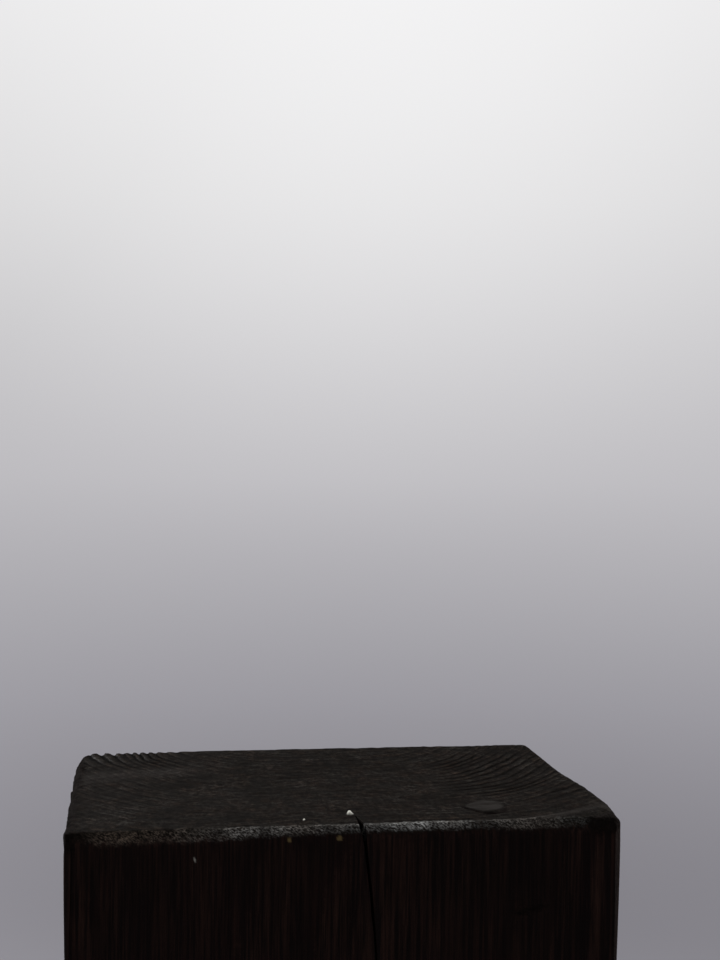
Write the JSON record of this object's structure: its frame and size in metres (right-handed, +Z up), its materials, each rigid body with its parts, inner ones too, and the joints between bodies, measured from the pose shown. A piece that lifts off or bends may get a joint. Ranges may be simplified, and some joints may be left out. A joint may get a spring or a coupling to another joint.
{
  "type": "display plinth",
  "caption": "Free-standing solid timber display plinth, black stained, with a flat end-grain top and recessed adjustable levelling feet.",
  "frame": {"origin": "on the floor under the middle of the post, levelling feet wound fully in", "axes": "+Z up along the post and its grain, -Y towards the viewer of the front face, +X to the viewer's right"},
  "size_m": [0.26, 0.16, 1],
  "materials": {
    "stained_timber": "black-brown stain, satin, end grain rougher",
    "black_steel": "black powder coat, fine texture",
    "foot_steel": "black e-coat, satin",
    "zinc_steel": "bright zinc plate",
    "rubber": "matte black"
  },
  "bodies": {
    "root": {"timber_post": "stained_timber", "base_plate": "black_steel", "washer_front_left": "zinc_steel", "coach_screw_front_left": "zinc_steel", "foot_nut_front_left": "zinc_steel", "lock_nut_front_left": "zinc_steel", "washer_front_right": "zinc_steel", "coach_screw_front_right": "zinc_steel", "foot_nut_front_right": "zinc_steel", "lock_nut_front_right": "zinc_steel", "washer_back_left": "zinc_steel", "coach_screw_back_left": "zinc_steel", "foot_nut_back_left": "zinc_steel", "lock_nut_back_left": "zinc_steel", "washer_back_right": "zinc_steel", "coach_screw_back_right": "zinc_steel", "foot_nut_back_right": "zinc_steel", "lock_nut_back_right": "zinc_steel"},
    "foot_front_left": {"foot_base_front_left": "foot_steel", "foot_pad_front_left": "rubber"},
    "spindle_front_left": {"foot_spindle_front_left": "zinc_steel"},
    "foot_front_right": {"foot_base_front_right": "foot_steel", "foot_pad_front_right": "rubber"},
    "spindle_front_right": {"foot_spindle_front_right": "zinc_steel"},
    "foot_back_left": {"foot_base_back_left": "foot_steel", "foot_pad_back_left": "rubber"},
    "spindle_back_left": {"foot_spindle_back_left": "zinc_steel"},
    "foot_back_right": {"foot_base_back_right": "foot_steel", "foot_pad_back_right": "rubber"},
    "spindle_back_right": {"foot_spindle_back_right": "zinc_steel"}
  },
  "joints": [
    {"name": "foot_lift_front_left", "type": "slide", "parent": "root", "child": "foot_front_left", "axis": [0, 0, -1], "range_m": [0, 0.015]},
    {"name": "foot_turn_front_left", "type": "hinge", "parent": "foot_front_left", "child": "spindle_front_left", "pos_m": [-0.0995, -0.0495, 0.013], "axis": [0, 0, -1], "continuous": true},
    {"name": "foot_lift_front_right", "type": "slide", "parent": "root", "child": "foot_front_right", "axis": [0, 0, -1], "range_m": [0, 0.015]},
    {"name": "foot_turn_front_right", "type": "hinge", "parent": "foot_front_right", "child": "spindle_front_right", "pos_m": [0.0995, -0.0495, 0.013], "axis": [0, 0, -1], "continuous": true},
    {"name": "foot_lift_back_left", "type": "slide", "parent": "root", "child": "foot_back_left", "axis": [0, 0, -1], "range_m": [0, 0.015]},
    {"name": "foot_turn_back_left", "type": "hinge", "parent": "foot_back_left", "child": "spindle_back_left", "pos_m": [-0.0995, 0.0495, 0.013], "axis": [0, 0, -1], "continuous": true},
    {"name": "foot_lift_back_right", "type": "slide", "parent": "root", "child": "foot_back_right", "axis": [0, 0, -1], "range_m": [0, 0.015]},
    {"name": "foot_turn_back_right", "type": "hinge", "parent": "foot_back_right", "child": "spindle_back_right", "pos_m": [0.0995, 0.0495, 0.013], "axis": [0, 0, -1], "continuous": true}
  ],
  "couplings": [
    {"joint": "foot_turn_front_left", "follows": "foot_lift_front_left", "rad_per_m": 4188.8},
    {"joint": "foot_turn_front_right", "follows": "foot_lift_front_right", "rad_per_m": 4188.8},
    {"joint": "foot_turn_back_left", "follows": "foot_lift_back_left", "rad_per_m": 4188.8},
    {"joint": "foot_turn_back_right", "follows": "foot_lift_back_right", "rad_per_m": 4188.8}
  ]
}
